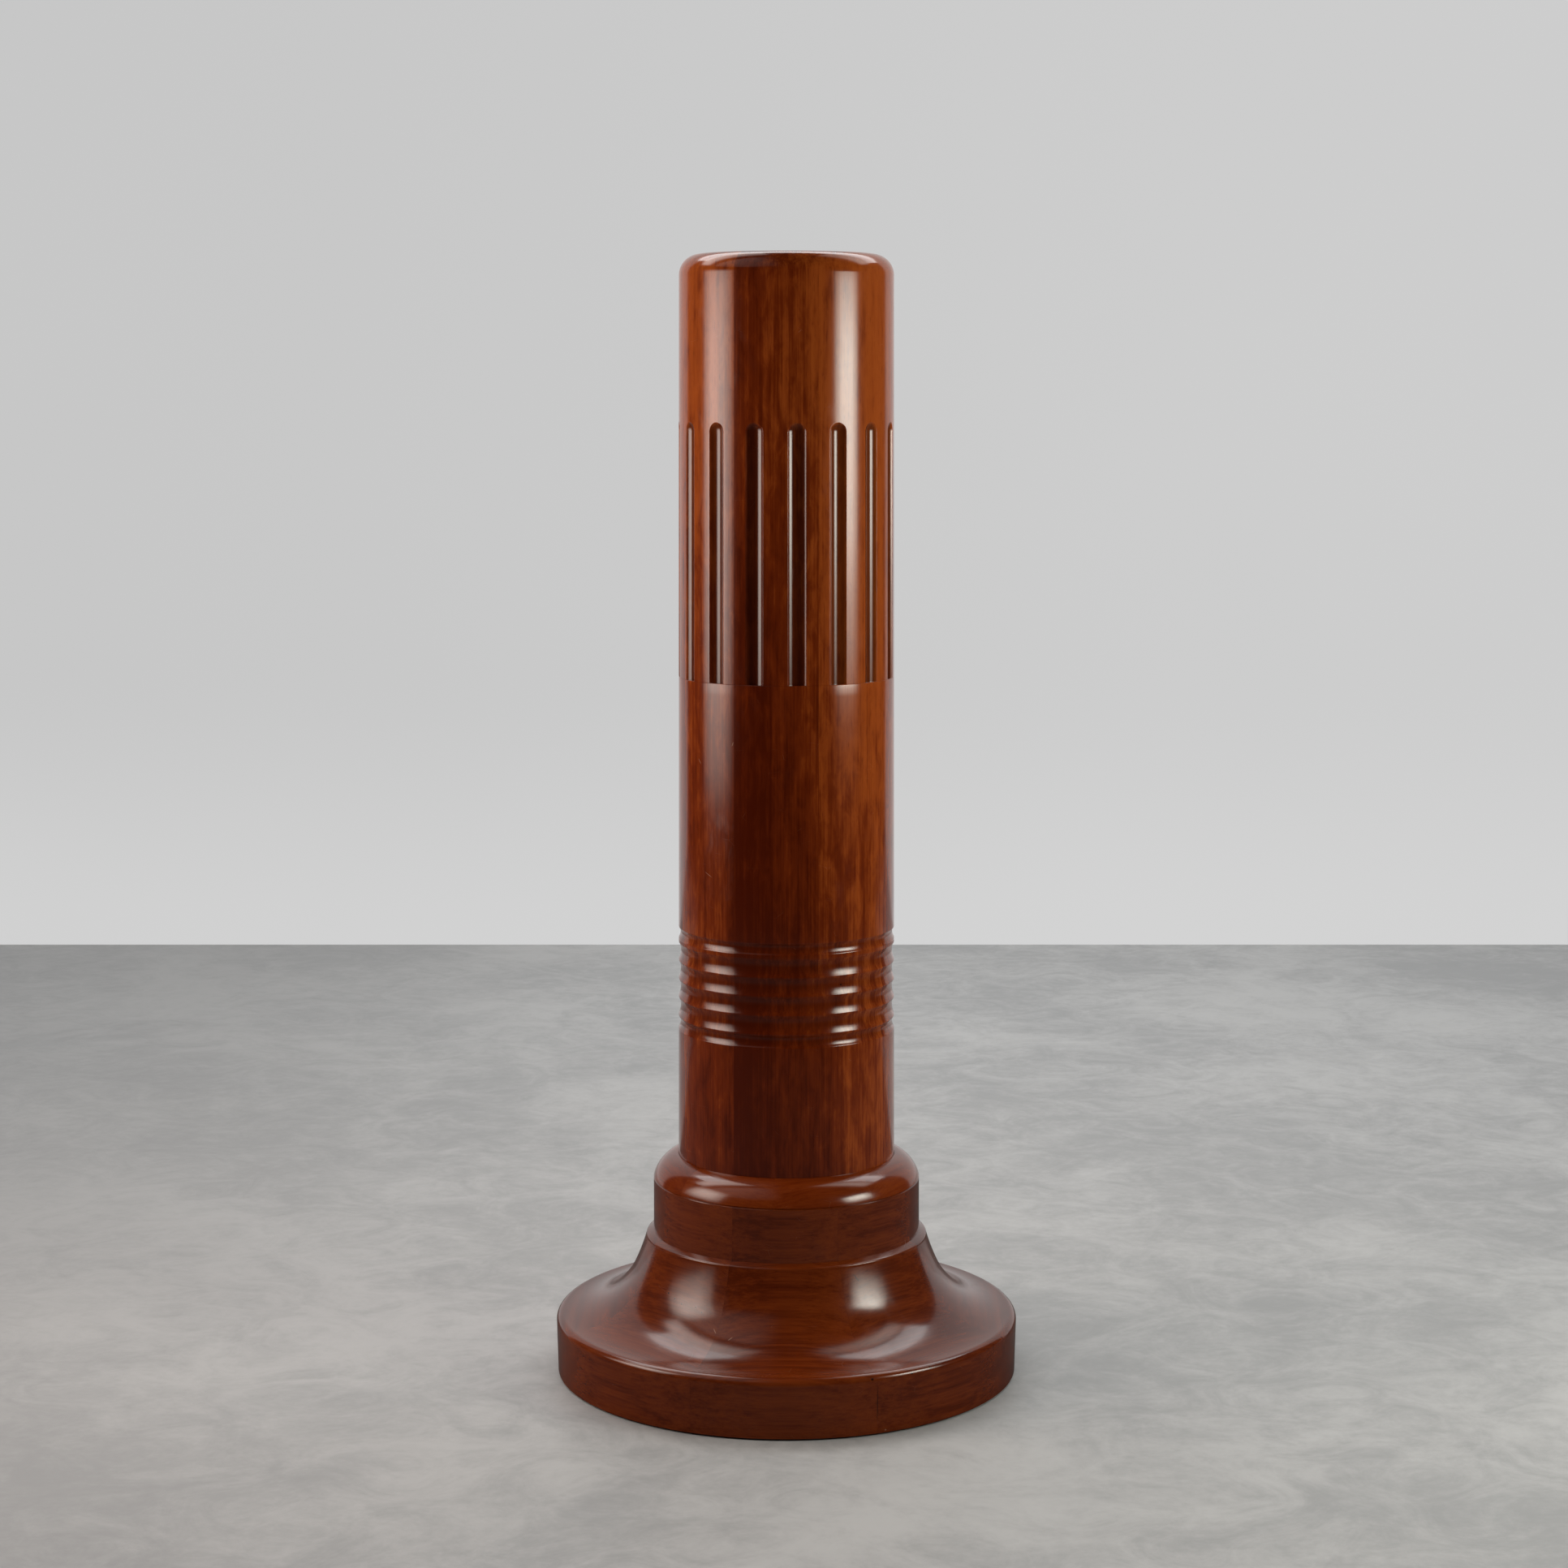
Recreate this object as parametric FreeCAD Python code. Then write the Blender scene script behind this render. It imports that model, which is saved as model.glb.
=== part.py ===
import FreeCAD
import Part
import math
import os

# A turned wooden pedestal: a fluted column of eight glued staves, standing in a bell-shaped
# foot of eight blocks, with an ovolo collar where the two meet. Millimetres, Z up, and the
# origin on the floor under the centre. Angles are counted from the front, -Y, towards +X.

STAVE_COUNT = 8
GLUE_LINE = 0.3

# The column.
TOTAL_HEIGHT = 1222.0
SHAFT_RADIUS = 118.5
STAVE_THICKNESS = 32.5
SHAFT_SEAM_ANGLE = 16.75
TOP_ROUND = 23.0

# The flutes, cut with a round-nosed cutter: a ball end above and a square end below.
FLUTES_PER_STAVE = 2
FLUTE_BOTTOM = 758.0
FLUTE_TOP = 1038.0
FLUTE_CUTTER_RADIUS = 14.0
FLUTE_DEPTH = 4.5
FLUTE_ARRIS_ROUND = 0.8

# The band of turned coves.
COVE_BAND_TOP = 484.3
NECK_GROOVE_HEIGHT = 13.8
NECK_GROOVE_DEPTH = 2.1
NECK_BEAD_HEIGHT = 3.1
COVE_COUNT = 5
COVE_PITCH = 20.2
LAST_COVE_HEIGHT = 15.0
COVE_DEPTH = 2.4
COVE_UPPER_PART = 0.4
CREST_ROUND = 2.4

# The tongues that line the staves up at their glued edges.
TONGUE_THICKNESS = 3.2
TONGUE_WIDTH = 12.0
TONGUE_STOP_TOP = 60.0
TONGUE_STOP_BOTTOM = 12.0
TONGUE_CLEARANCE = 0.1

# The collar round the joint of column and foot.
COLLAR_WIDTH = 27.0
COLLAR_HEIGHT = 26.0
COLLAR_BULGE = 5.6
COLLAR_SEAM_ANGLE = 39.25
QUIRK = 1.0

# The bell-shaped foot.
FOOT_SEAM_ANGLE = 21.8
FOOT_NECK_TOP = 208.5
LEDGE_TOP = 151.5
LEDGE_WIDTH = 7.9
LEDGE_TILT = 24.0
LEDGE_ROUND = 2.5
BELL_TILT_TOP = 16.3
BELL_TILT_WAIST = 25.2
BELL_WAIST_HEIGHT = 112.8
RIM_RADIUS = 252.1
RIM_TAPER = 1.85
RIM_ROUND = 7.8
SOCKET_DEPTH = 48.5
SOCKET_LEDGE_WIDTH = 23.8
FOOT_HOLLOW_RADIUS = 150.0
FOOT_HOLLOW_TOP = 100.0

# The boards inside, and the round top let into the end of the column.
TOP_LIP = 1.5
TOP_BOARD_THICKNESS = 22.0
INNER_BOARD_THICKNESS = 18.0
MIDDLE_BOARD_HEIGHT = 690.0
ANCHOR_BLOCK_HEIGHT = 60.0
BOTTOM_BOARD_RADIUS = 200.0
BOTTOM_BOARD_THICKNESS = 18.0
BOTTOM_BOARD_RECESS = 14.0

# The threaded rod that pulls the column down into the foot.
ROD_RADIUS = 5.0
ROD_HOLE_CLEARANCE = 0.5
THREAD_CLEARANCE = 0.05
ROD_END = 3.0
NUT_ACROSS_FLATS = 17.0
NUT_SIDES = 6
NUT_HEIGHT = 8.0
WASHER_RADIUS = 15.0
WASHER_THICKNESS = 2.0

# Countersunk wood screws.
SCREW_RADIUS = 2.25
SCREW_HEAD_RADIUS = 4.5
SCREW_HEAD_HEIGHT = 3.0
SCREW_TIP_LENGTH = 4.0
SCREW_TIP_RADIUS = 0.75
SCREW_CLEARANCE = 0.05
BOTTOM_SCREW_LENGTH = 45.0
TOP_SCREW_LENGTH = 32.0
TOP_SCREW_CIRCLE = 55.0
TOP_SCREW_COUNT = 4

# Felt pads under the foot, one to each block.
PAD_RADIUS = 18.0
PAD_THICKNESS = 2.0

STAVE_ANGLE = 360.0 / STAVE_COUNT
COLUMN_FLOOR = FOOT_NECK_TOP - SOCKET_DEPTH
SHAFT_BORE_FLAT = SHAFT_RADIUS - STAVE_THICKNESS
SHAFT_BORE_CORNER = SHAFT_BORE_FLAT / math.cos(math.pi / STAVE_COUNT)
TONGUE_RADIUS = (SHAFT_BORE_CORNER + SHAFT_RADIUS) / 2
SOCKET_RADIUS = SHAFT_RADIUS + GLUE_LINE
SOCKET_LEDGE_RADIUS = SOCKET_RADIUS - SOCKET_LEDGE_WIDTH
FOOT_NECK_RADIUS = SOCKET_RADIUS + COLLAR_WIDTH
BOTTOM_SCREW_CIRCLE = (FOOT_HOLLOW_RADIUS + BOTTOM_BOARD_RADIUS) / 2
BOTTOM_BOARD_BOTTOM = PAD_THICKNESS + BOTTOM_BOARD_RECESS
BOTTOM_BOARD_TOP = BOTTOM_BOARD_BOTTOM + BOTTOM_BOARD_THICKNESS
TOP_BOARD_BOTTOM = TOTAL_HEIGHT - TOP_BOARD_THICKNESS
TOP_BOARD_RADIUS = SHAFT_RADIUS - TOP_ROUND - TOP_LIP
SAME_PLACE = 0.05
UP = FreeCAD.Vector(0, 0, 1)
CENTRE = FreeCAD.Vector(0, 0, 0)


# ---- Drawing outlines: a point is a distance from the axis and a height.

def point(radius, height):
    return FreeCAD.Vector(radius, 0, height)


def on_circle(centre, radius, angle):
    turn = math.radians(angle)
    return centre + point(radius * math.cos(turn), radius * math.sin(turn))


def line(start, end):
    return Part.LineSegment(start, end).toShape()


def arc(centre, radius, start_angle, end_angle):
    start = on_circle(centre, radius, start_angle)
    middle = on_circle(centre, radius, (start_angle + end_angle) / 2)
    end = on_circle(centre, radius, end_angle)
    return Part.Arc(start, middle, end).toShape()


def bulged(start, end, bulge):
    """An arc from start to end that stands out from the chord by bulge."""
    chord = end - start
    outward = FreeCAD.Vector(-chord.z, 0, chord.x).normalize()
    middle = (start + end) * 0.5 + outward * bulge
    return Part.Arc(start, middle, end).toShape()


def closed_face(edges):
    """Closes the drawn edges with a line from the last point to the first."""
    first = edges[0].valueAt(edges[0].FirstParameter)
    last = edges[-1].valueAt(edges[-1].LastParameter)
    return Part.Face(Part.Wire(edges + [line(last, first)]))


# ---- Placing things round the axis.

def turn_about_axis(shape, angle):
    """A copy turned so that what lay along +X points at this angle from the front."""
    copy = shape.copy()
    copy.rotate(CENTRE, UP, angle - 90.0)
    return copy


def sector(face, start_angle):
    """The wedge of one stave, turned from the face and starting at its seam."""
    return turn_about_axis(face.revolve(CENTRE, UP, STAVE_ANGLE), start_angle)


def disc(radius, bottom, thickness):
    return Part.makeCylinder(radius, thickness, point(0, bottom))


def polygon_prism(flat_distance, sides, corner_angle, bottom, thickness):
    corner_distance = flat_distance / math.cos(math.pi / sides)
    corners = []
    for side in range(sides + 1):
        turn = math.radians(corner_angle - 90.0 + side * 360.0 / sides)
        x = corner_distance * math.cos(turn)
        y = corner_distance * math.sin(turn)
        corners.append(FreeCAD.Vector(x, y, bottom))
    return Part.Face(Part.makePolygon(corners)).extrude(UP * thickness)


def ring_of(shape, count, first_angle):
    return [turn_about_axis(shape, first_angle + index * 360.0 / count) for index in range(count)]


# ---- The screw: head down, so that it drives upwards from its countersink.

def screw(distance, head_height, length, extra):
    """The screw, or with extra clearance the hole that it takes."""
    shank = SCREW_RADIUS + extra
    head = SCREW_HEAD_RADIUS + extra
    place = point(distance, head_height)
    cone = Part.makeCone(head, shank, SCREW_HEAD_HEIGHT, place)
    straight_length = length - SCREW_TIP_LENGTH
    straight = Part.makeCylinder(shank, straight_length, place)
    tip_place = place + UP * straight_length
    tip = Part.makeCone(shank, SCREW_TIP_RADIUS + extra, SCREW_TIP_LENGTH, tip_place)
    return cone.fuse([straight, tip]).removeSplitter()


def bottom_screws(extra):
    one = screw(BOTTOM_SCREW_CIRCLE, BOTTOM_BOARD_BOTTOM, BOTTOM_SCREW_LENGTH, extra)
    return ring_of(one, STAVE_COUNT, FOOT_SEAM_ANGLE + STAVE_ANGLE / 2)


def top_screws(extra):
    height = TOP_BOARD_BOTTOM - INNER_BOARD_THICKNESS
    one = screw(TOP_SCREW_CIRCLE, height, TOP_SCREW_LENGTH, extra)
    return ring_of(one, TOP_SCREW_COUNT, SHAFT_SEAM_ANGLE)


# ---- The column.

def half_cove(crest, height, depth, downwards):
    """From the crest to the bottom of a cove: a small round turning into the hollow."""
    sweep = 2 * math.degrees(math.atan(depth / height))
    hollow = height / math.sin(math.radians(sweep)) - CREST_ROUND
    step = -1 if downwards else 1
    crest_centre = crest - point(CREST_ROUND, 0)
    bottom = crest + point(-depth, step * height)
    hollow_centre = bottom + point(hollow, 0)
    crest_arc = arc(crest_centre, CREST_ROUND, 0, step * sweep)
    hollow_arc = arc(hollow_centre, hollow, 180 + step * sweep, 180)
    return [crest_arc, hollow_arc]


def cove(top, height, depth):
    """One hollow turned round the column, steeper above than below."""
    upper = half_cove(point(SHAFT_RADIUS, top), height * COVE_UPPER_PART, depth, True)
    lower_height = height * (1 - COVE_UPPER_PART)
    lower = half_cove(point(SHAFT_RADIUS, top - height), lower_height, depth, False)
    return upper + [Part.Edge(edge) for edge in reversed(lower)]


def column_face():
    """Half of the column's section. It starts inside the bore, which is cut afterwards."""
    inside = SHAFT_BORE_FLAT / 2
    shoulder = point(SHAFT_RADIUS - TOP_ROUND, TOTAL_HEIGHT)
    round_centre = shoulder - UP * TOP_ROUND
    bead_top = COVE_BAND_TOP - NECK_GROOVE_HEIGHT
    first_crest = bead_top - NECK_BEAD_HEIGHT
    last_crest = first_crest - (COVE_COUNT - 1) * COVE_PITCH
    drum_top = last_crest - LAST_COVE_HEIGHT
    edges = [line(point(inside, COLUMN_FLOOR), point(inside, TOTAL_HEIGHT))]
    edges.append(line(point(inside, TOTAL_HEIGHT), shoulder))
    edges.append(arc(round_centre, TOP_ROUND, 90, 0))
    edges.append(line(point(SHAFT_RADIUS, round_centre.z), point(SHAFT_RADIUS, COVE_BAND_TOP)))
    edges += cove(COVE_BAND_TOP, NECK_GROOVE_HEIGHT, NECK_GROOVE_DEPTH)
    edges.append(line(point(SHAFT_RADIUS, bead_top), point(SHAFT_RADIUS, first_crest)))
    for index in range(COVE_COUNT - 1):
        edges += cove(first_crest - index * COVE_PITCH, COVE_PITCH, COVE_DEPTH)
    edges += cove(last_crest, LAST_COVE_HEIGHT, COVE_DEPTH)
    edges.append(line(point(SHAFT_RADIUS, drum_top), point(SHAFT_RADIUS, COLUMN_FLOOR)))
    edges.append(line(point(SHAFT_RADIUS, COLUMN_FLOOR), point(inside, COLUMN_FLOOR)))
    return Part.Face(Part.Wire(Part.sortEdges(edges)[0]))


def flute_cutter():
    cutter_centre = SHAFT_RADIUS - FLUTE_DEPTH + FLUTE_CUTTER_RADIUS
    reach = cutter_centre - SHAFT_RADIUS
    half_width = math.sqrt(FLUTE_CUTTER_RADIUS ** 2 - reach ** 2)
    ball_height = FLUTE_TOP - half_width
    bottom = point(cutter_centre, FLUTE_BOTTOM)
    straight = Part.makeCylinder(FLUTE_CUTTER_RADIUS, ball_height - FLUTE_BOTTOM, bottom)
    ball = Part.makeSphere(FLUTE_CUTTER_RADIUS, point(cutter_centre, ball_height))
    return straight.fuse(ball)


def flute_arrises(stave):
    """The edges at which the flutes break out of the turned surface."""
    arrises = []
    for edge in stave.Edges:
        middle = edge.valueAt((edge.FirstParameter + edge.LastParameter) / 2)
        distance = math.hypot(middle.x, middle.y)
        on_surface = math.isclose(distance, SHAFT_RADIUS, abs_tol=SAME_PLACE)
        above = edge.BoundBox.ZMin > FLUTE_BOTTOM - SAME_PLACE
        below = edge.BoundBox.ZMax < FLUTE_TOP + SAME_PLACE
        if on_surface and above and below:
            arrises.append(edge)
    return arrises


def tongue(extra):
    """One loose tongue across the seam at +X, or with extra clearance the groove for it."""
    bottom = COLUMN_FLOOR + TONGUE_STOP_BOTTOM - extra
    height = TOTAL_HEIGHT - TONGUE_STOP_TOP - bottom + extra
    thickness = TONGUE_THICKNESS + 2 * extra
    width = TONGUE_WIDTH + 2 * extra
    corner = FreeCAD.Vector(TONGUE_RADIUS - thickness / 2, -width / 2, bottom)
    return Part.makeBox(thickness, width, height, corner)


def column_staves():
    face = column_face()
    flute = flute_cutter()
    groove = tongue(TONGUE_CLEARANCE)
    bore_height = TOP_BOARD_BOTTOM - COLUMN_FLOOR
    bore = polygon_prism(SHAFT_BORE_FLAT, STAVE_COUNT, SHAFT_SEAM_ANGLE, COLUMN_FLOOR, bore_height)
    top_rebate = disc(TOP_BOARD_RADIUS, TOP_BOARD_BOTTOM, TOP_BOARD_THICKNESS)
    flute_step = STAVE_ANGLE / FLUTES_PER_STAVE
    staves = []
    for index in range(STAVE_COUNT):
        start = SHAFT_SEAM_ANGLE + (index - 1) * STAVE_ANGLE
        cutters = [bore, top_rebate]
        cutters += [turn_about_axis(groove, start), turn_about_axis(groove, start + STAVE_ANGLE)]
        for flute_index in range(FLUTES_PER_STAVE):
            cutters.append(turn_about_axis(flute, start + (flute_index + 0.5) * flute_step))
        stave = sector(face, start).cut(cutters).Solids[0]
        staves.append(stave.makeFillet(FLUTE_ARRIS_ROUND, flute_arrises(stave)))
    return staves


def tongues():
    return ring_of(tongue(0.0), STAVE_COUNT, SHAFT_SEAM_ANGLE)


# ---- The collar: an ovolo moulding, mitred round the column on top of the foot.

def collar_segments():
    inner_edge = point(SOCKET_RADIUS, FOOT_NECK_TOP)
    upper_edge = inner_edge + UP * COLLAR_HEIGHT
    outer_edge = point(FOOT_NECK_RADIUS, FOOT_NECK_TOP + QUIRK)
    lower_edge = point(FOOT_NECK_RADIUS - QUIRK, FOOT_NECK_TOP)
    edges = [line(inner_edge, upper_edge)]
    edges.append(bulged(upper_edge, outer_edge, COLLAR_BULGE))
    edges.append(line(outer_edge, lower_edge))
    face = closed_face(edges)
    starts = [COLLAR_SEAM_ANGLE + (index - 1) * STAVE_ANGLE for index in range(STAVE_COUNT)]
    return [sector(face, start) for start in starts]


# ---- The foot.

def ledge():
    """The small sloping ledge under the neck, with its rounded outer arris."""
    start = point(FOOT_NECK_RADIUS, LEDGE_TOP)
    tangent = on_circle(CENTRE, LEDGE_ROUND, 90 - LEDGE_TILT)
    run = LEDGE_WIDTH - LEDGE_ROUND + tangent.x
    end = start + point(run, -run * math.tan(math.radians(LEDGE_TILT)))
    return [line(start, end), arc(end - tangent, LEDGE_ROUND, 90 - LEDGE_TILT, 0)]


def bell(start):
    """Two hollow sweeps from the ledge out to the flat of the foot, and the rim's round."""
    top_tilt = math.radians(BELL_TILT_TOP)
    waist_tilt = math.radians(BELL_TILT_WAIST)
    upper_sweep = (start.z - BELL_WAIST_HEIGHT) / (math.sin(waist_tilt) - math.sin(top_tilt))
    upper_centre = on_circle(start, upper_sweep, BELL_TILT_TOP)
    waist = on_circle(upper_centre, upper_sweep, 180 + BELL_TILT_WAIST)
    shoulder_radius = RIM_RADIUS - RIM_ROUND
    lower_sweep = (shoulder_radius - waist.x) / math.cos(waist_tilt)
    lower_centre = on_circle(waist, lower_sweep, BELL_TILT_WAIST)
    rim_centre = lower_centre - UP * (lower_sweep + RIM_ROUND)
    edges = [arc(upper_centre, upper_sweep, 180 + BELL_TILT_TOP, 180 + BELL_TILT_WAIST)]
    edges.append(arc(lower_centre, lower_sweep, 180 + BELL_TILT_WAIST, 270))
    edges.append(arc(rim_centre, RIM_ROUND, 90, 0))
    return edges


def end_of(edge):
    return edge.valueAt(edge.LastParameter)


def foot_face():
    """Half of the foot's section: neck, ledge, bell and rim outside, socket and hollow inside."""
    floor = PAD_THICKNESS
    outside = ledge()
    outside += bell(end_of(outside[-1]))
    corners = [end_of(outside[-1])]
    corners.append(point(RIM_RADIUS - RIM_TAPER, floor))
    corners.append(point(BOTTOM_BOARD_RADIUS, floor))
    corners.append(point(BOTTOM_BOARD_RADIUS, BOTTOM_BOARD_TOP))
    corners.append(point(FOOT_HOLLOW_RADIUS, BOTTOM_BOARD_TOP))
    corners.append(point(FOOT_HOLLOW_RADIUS, FOOT_HOLLOW_TOP))
    corners.append(point(SOCKET_LEDGE_RADIUS, FOOT_HOLLOW_TOP))
    corners.append(point(SOCKET_LEDGE_RADIUS, COLUMN_FLOOR))
    corners.append(point(SOCKET_RADIUS, COLUMN_FLOOR))
    corners.append(point(SOCKET_RADIUS, FOOT_NECK_TOP))
    corners.append(point(FOOT_NECK_RADIUS - QUIRK, FOOT_NECK_TOP))
    corners.append(point(FOOT_NECK_RADIUS, FOOT_NECK_TOP - QUIRK))
    corners.append(point(FOOT_NECK_RADIUS, LEDGE_TOP))
    inside = [line(start, end) for start, end in zip(corners[:-1], corners[1:])]
    return Part.Face(Part.Wire(outside + inside))


def foot_blocks():
    face = foot_face()
    holes = bottom_screws(SCREW_CLEARANCE)
    blocks = []
    for index in range(STAVE_COUNT):
        start = FOOT_SEAM_ANGLE + (index - 1) * STAVE_ANGLE
        blocks.append(sector(face, start).cut(holes[index - 1]))
    return blocks


# ---- The boards.

def column_board(bottom, thickness):
    """An eight-sided board that fills the bore of the column."""
    return polygon_prism(SHAFT_BORE_FLAT - GLUE_LINE, STAVE_COUNT, SHAFT_SEAM_ANGLE, bottom, thickness)


def top_board():
    board = disc(TOP_BOARD_RADIUS - GLUE_LINE, TOP_BOARD_BOTTOM, TOP_BOARD_THICKNESS)
    return board.cut(top_screws(SCREW_CLEARANCE))


def top_backing_board():
    bottom = TOP_BOARD_BOTTOM - INNER_BOARD_THICKNESS
    return column_board(bottom, INNER_BOARD_THICKNESS).cut(top_screws(SCREW_CLEARANCE))


def rod_hole(bottom, height):
    return disc(ROD_RADIUS + ROD_HOLE_CLEARANCE, bottom, height)


def anchor_block():
    block = column_board(COLUMN_FLOOR, ANCHOR_BLOCK_HEIGHT)
    return block.cut(rod_hole(COLUMN_FLOOR, ANCHOR_BLOCK_HEIGHT))


def bottom_board():
    board = disc(BOTTOM_BOARD_RADIUS - GLUE_LINE, BOTTOM_BOARD_BOTTOM, BOTTOM_BOARD_THICKNESS)
    hole = rod_hole(BOTTOM_BOARD_BOTTOM, BOTTOM_BOARD_THICKNESS)
    return board.cut([hole] + bottom_screws(SCREW_CLEARANCE))


# ---- The rod with its nuts and washers.

def washer(bottom):
    return disc(WASHER_RADIUS, bottom, WASHER_THICKNESS).cut(rod_hole(bottom, WASHER_THICKNESS))


def nut(bottom):
    body = polygon_prism(NUT_ACROSS_FLATS / 2, NUT_SIDES, 0.0, bottom, NUT_HEIGHT)
    return body.cut(disc(ROD_RADIUS + THREAD_CLEARANCE, bottom, NUT_HEIGHT))


def rod_fittings():
    upper_washer = COLUMN_FLOOR + ANCHOR_BLOCK_HEIGHT
    upper_nut = upper_washer + WASHER_THICKNESS
    lower_washer = BOTTOM_BOARD_BOTTOM - WASHER_THICKNESS
    lower_nut = lower_washer - NUT_HEIGHT
    rod_bottom = lower_nut - ROD_END
    rod_top = upper_nut + NUT_HEIGHT + ROD_END
    rod = disc(ROD_RADIUS, rod_bottom, rod_top - rod_bottom)
    return rod, [nut(lower_nut), nut(upper_nut)], [washer(lower_washer), washer(upper_washer)]


def felt_pads():
    pad_circle = (BOTTOM_BOARD_RADIUS + RIM_RADIUS - RIM_TAPER) / 2
    pad = Part.makeCylinder(PAD_RADIUS, PAD_THICKNESS, point(pad_circle, 0))
    return ring_of(pad, STAVE_COUNT, FOOT_SEAM_ANGLE + STAVE_ANGLE / 2)


# ---- One file for each piece; like fasteners share one.

def write(name, shapes):
    shape = shapes[0] if len(shapes) == 1 else Part.makeCompound(shapes)
    shape.exportStep("parts/" + name + ".step")


def write_numbered(name, shapes):
    for index, shape in enumerate(shapes):
        write(name + "_" + str(index + 1), [shape])


os.makedirs("parts", exist_ok=True)
write_numbered("column_stave", column_staves())
write_numbered("collar_segment", collar_segments())
write_numbered("foot_block", foot_blocks())
write("column_tongues", tongues())
write("top_board", [top_board()])
write("top_backing_board", [top_backing_board()])
write("middle_board", [column_board(MIDDLE_BOARD_HEIGHT, INNER_BOARD_THICKNESS)])
write("anchor_block", [anchor_block()])
write("bottom_board", [bottom_board()])
rod, nuts, washers = rod_fittings()
write("tie_rod", [rod])
write("rod_nuts", nuts)
write("rod_washers", washers)
write("top_screws", top_screws(0.0))
write("bottom_screws", bottom_screws(0.0))
write("felt_pads", felt_pads())
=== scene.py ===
import math
import bpy
import mathutils
import numpy as np
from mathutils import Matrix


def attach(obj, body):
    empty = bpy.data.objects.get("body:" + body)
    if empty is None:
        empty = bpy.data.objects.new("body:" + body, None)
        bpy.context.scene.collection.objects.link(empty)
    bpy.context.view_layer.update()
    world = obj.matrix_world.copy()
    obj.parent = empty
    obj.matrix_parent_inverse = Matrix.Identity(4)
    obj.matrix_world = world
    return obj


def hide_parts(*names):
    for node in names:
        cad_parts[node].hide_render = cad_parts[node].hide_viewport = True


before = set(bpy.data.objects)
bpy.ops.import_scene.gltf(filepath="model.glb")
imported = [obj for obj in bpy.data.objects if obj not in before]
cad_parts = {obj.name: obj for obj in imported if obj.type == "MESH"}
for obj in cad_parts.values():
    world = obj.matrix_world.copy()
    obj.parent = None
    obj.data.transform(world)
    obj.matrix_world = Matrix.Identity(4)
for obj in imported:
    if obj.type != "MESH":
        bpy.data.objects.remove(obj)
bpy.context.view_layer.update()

# ---------------------------------------------------------------- Camera
# A level camera in front of the pedestal, at the height of the upper shaft. The lens is shifted
# down so that the upright lines stay parallel, as in the photograph.
camera = bpy.data.objects.new("camera", bpy.data.cameras.new("camera"))
bpy.context.scene.collection.objects.link(camera)
camera.location = (0.0, -3.397, 1.0732)
camera.rotation_euler = (math.radians(90), 0, 0)
camera.data.lens = 70.81
camera.data.sensor_width = 36.0
camera.data.shift_x = -0.00155
camera.data.shift_y = -0.2516
bpy.context.scene.camera = camera
bpy.context.scene.view_settings.view_transform = "Standard"

# ---------------------------------------------------------------- Column staves
# Eight mahogany staves, glued edge to edge and turned to a cylinder with a round upper edge.
# Each has two flutes with a ball end above and a square end below, and its share of the turned
# coves. Heights and radii are in millimetres, angles in degrees from the front towards +X.
shaft_radius = 118.5
shaft_top = 1222.0
shaft_bottom = 160.0
rebate_radius = 94.0
rebate_floor = 1200.0
top_round = 23.0
bore_flat = 86.0
stave_angle = 45.0
shaft_seam = 16.75
flute_bottom = 758.0
flute_top = 1038.0
flute_cutter = 14.0
flute_centre = shaft_radius - 4.5 + flute_cutter
flute_ball = flute_top - math.sqrt(flute_cutter ** 2 - (flute_centre - shaft_radius) ** 2)
flute_arris = 0.8
cove_tops = [484.3, 467.4, 447.2, 427.0, 406.8, 386.6]
cove_heights = [13.8, 20.2, 20.2, 20.2, 20.2, 15.0]
cove_depths = [2.1, 2.4, 2.4, 2.4, 2.4, 2.4]
crest_round = 2.4


def arc_points(centre, radius, start, end, step):
    """Points along an arc of the turned outline, at most a step apart, without the first."""
    count = max(2, math.ceil(abs(math.radians(end - start)) * radius / step))
    turns = [math.radians(start + (end - start) * i / count) for i in range(1, count + 1)]
    return [(centre[0] + radius * math.cos(t), centre[1] + radius * math.sin(t)) for t in turns]


def line_points(start, end, step):
    """Points along a straight of the turned outline, at most a step apart, without the first."""
    count = max(1, math.ceil(math.dist(start, end) / step))
    parts = [i / count for i in range(1, count + 1)]
    return [(start[0] + (end[0] - start[0]) * p, start[1] + (end[1] - start[1]) * p) for p in parts]


def half_cove(crest_height, height, depth, way):
    """From a crest to the bottom of a cove, downwards with way -1 and upwards with way 1."""
    sweep = 2 * math.degrees(math.atan(depth / height))
    hollow = height / math.sin(math.radians(sweep)) - crest_round
    crest_centre = (shaft_radius - crest_round, crest_height)
    hollow_centre = (shaft_radius - depth + hollow, crest_height + way * height)
    points = [(shaft_radius, crest_height)]
    points += arc_points(crest_centre, crest_round, 0, way * sweep, 0.3)
    return points + arc_points(hollow_centre, hollow, 180 + way * sweep, 180, 0.8)


def cove(top, height, depth):
    """A whole cove from its upper crest to its lower one, steeper above than below."""
    upper = half_cove(top, height * 0.4, depth, -1)
    lower = half_cove(top - height, height * 0.6, depth, 1)
    return upper[1:] + lower[::-1][1:]


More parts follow.
